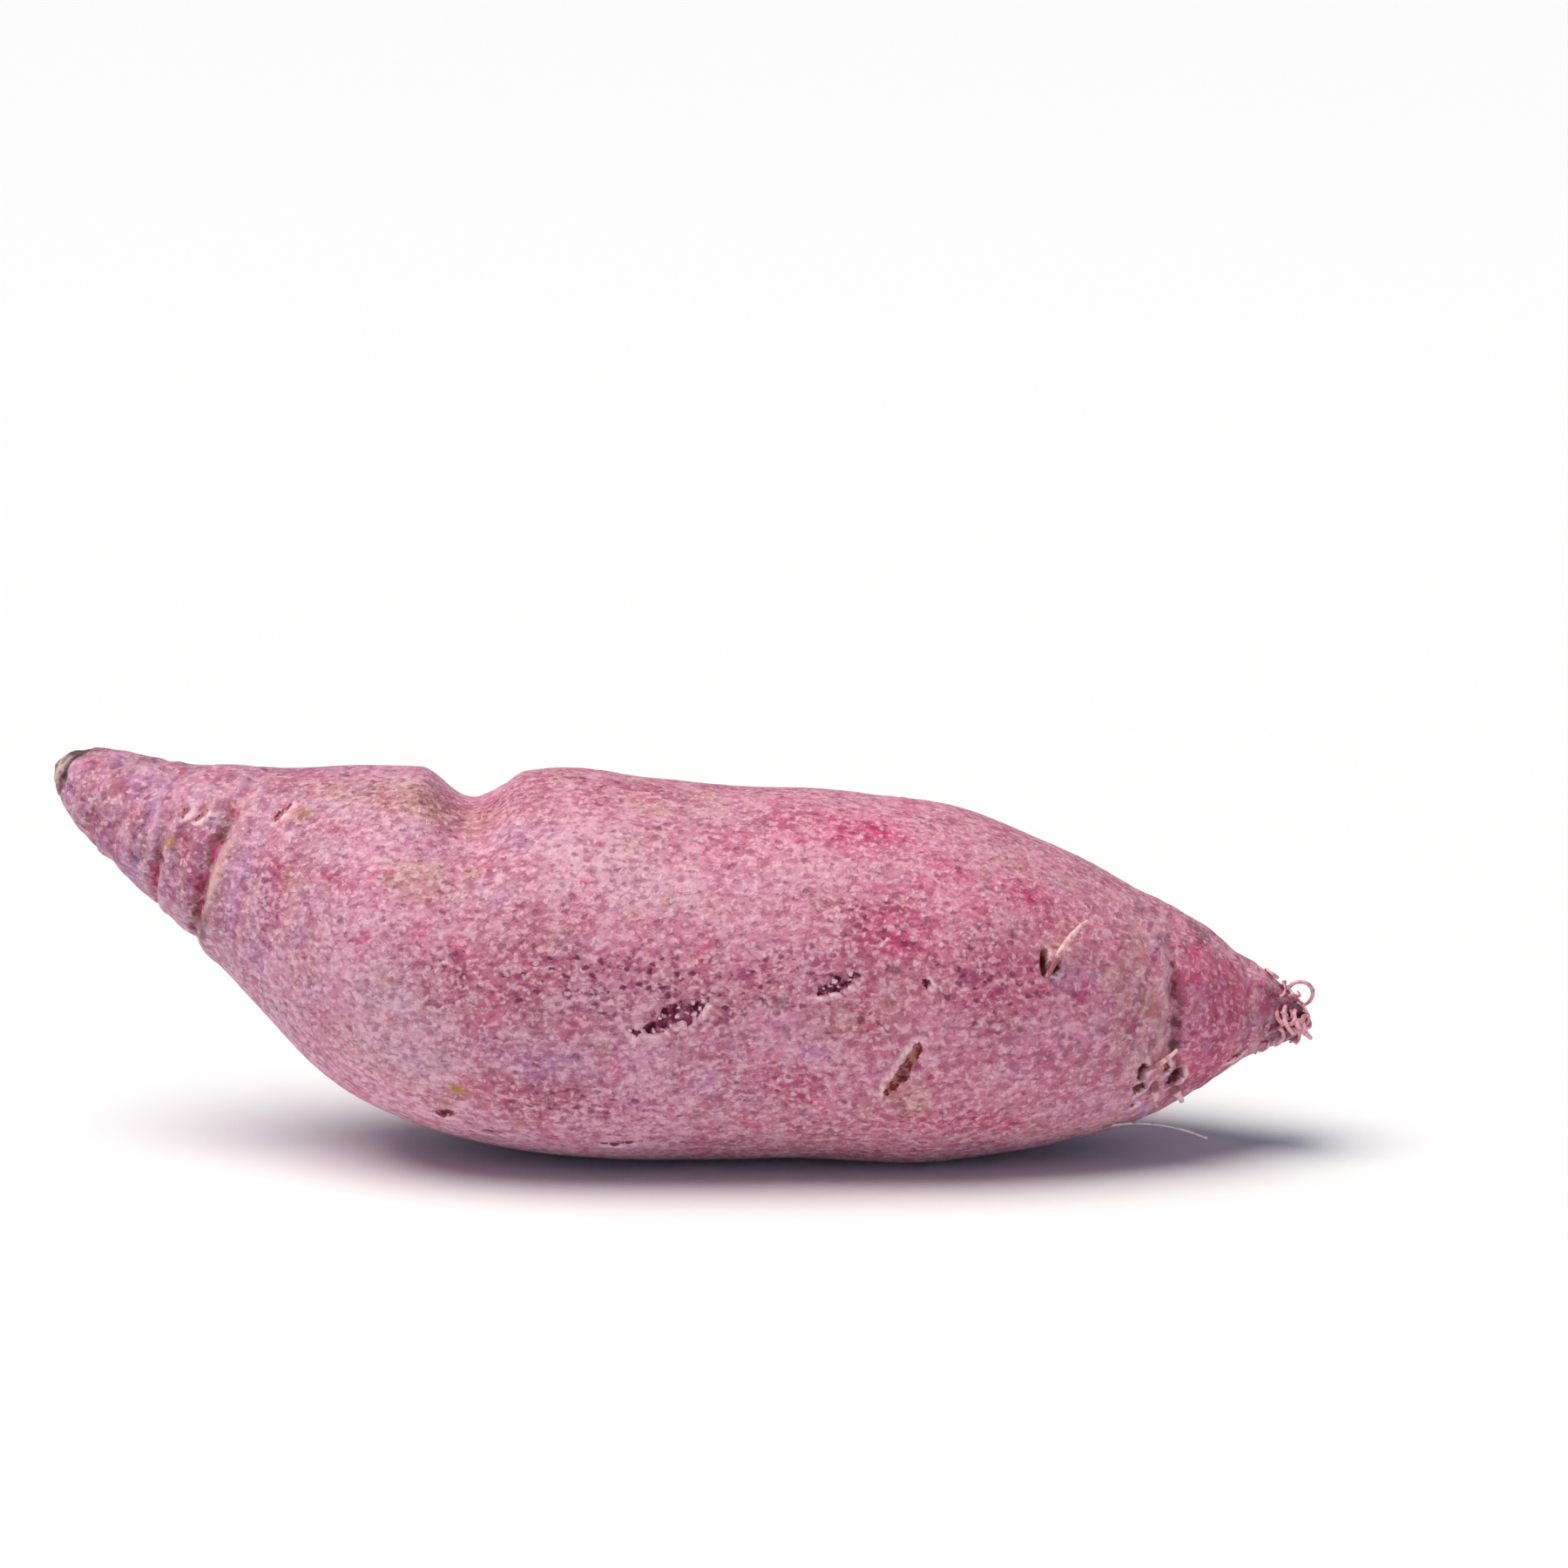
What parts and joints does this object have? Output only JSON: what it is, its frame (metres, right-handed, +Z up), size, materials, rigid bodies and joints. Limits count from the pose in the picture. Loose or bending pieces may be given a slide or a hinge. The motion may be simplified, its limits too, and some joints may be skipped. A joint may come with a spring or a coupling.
{
  "type": "purple sweet potato",
  "caption": "Whole purple sweet potato lying on its belly: a tapered storage root with a blunt stem scar, ring creases at the neck, root scars and fine rootlets at the tip.",
  "frame": {"origin": "on the surface that the root rests on, under the middle of its box", "axes": "+X along the root from the stem end to the root tip, +Z up, -Y towards the side that the picture shows"},
  "size_m": [0.205, 0.0642, 0.0636],
  "materials": {
    "skin": "dusty matte skin, mottled pink and purple",
    "rootlet": "dry tan fibre",
    "stem_scar": "dried brown cork"
  },
  "bodies": {
    "root": {"tuber": "skin"}
  },
  "joints": []
}
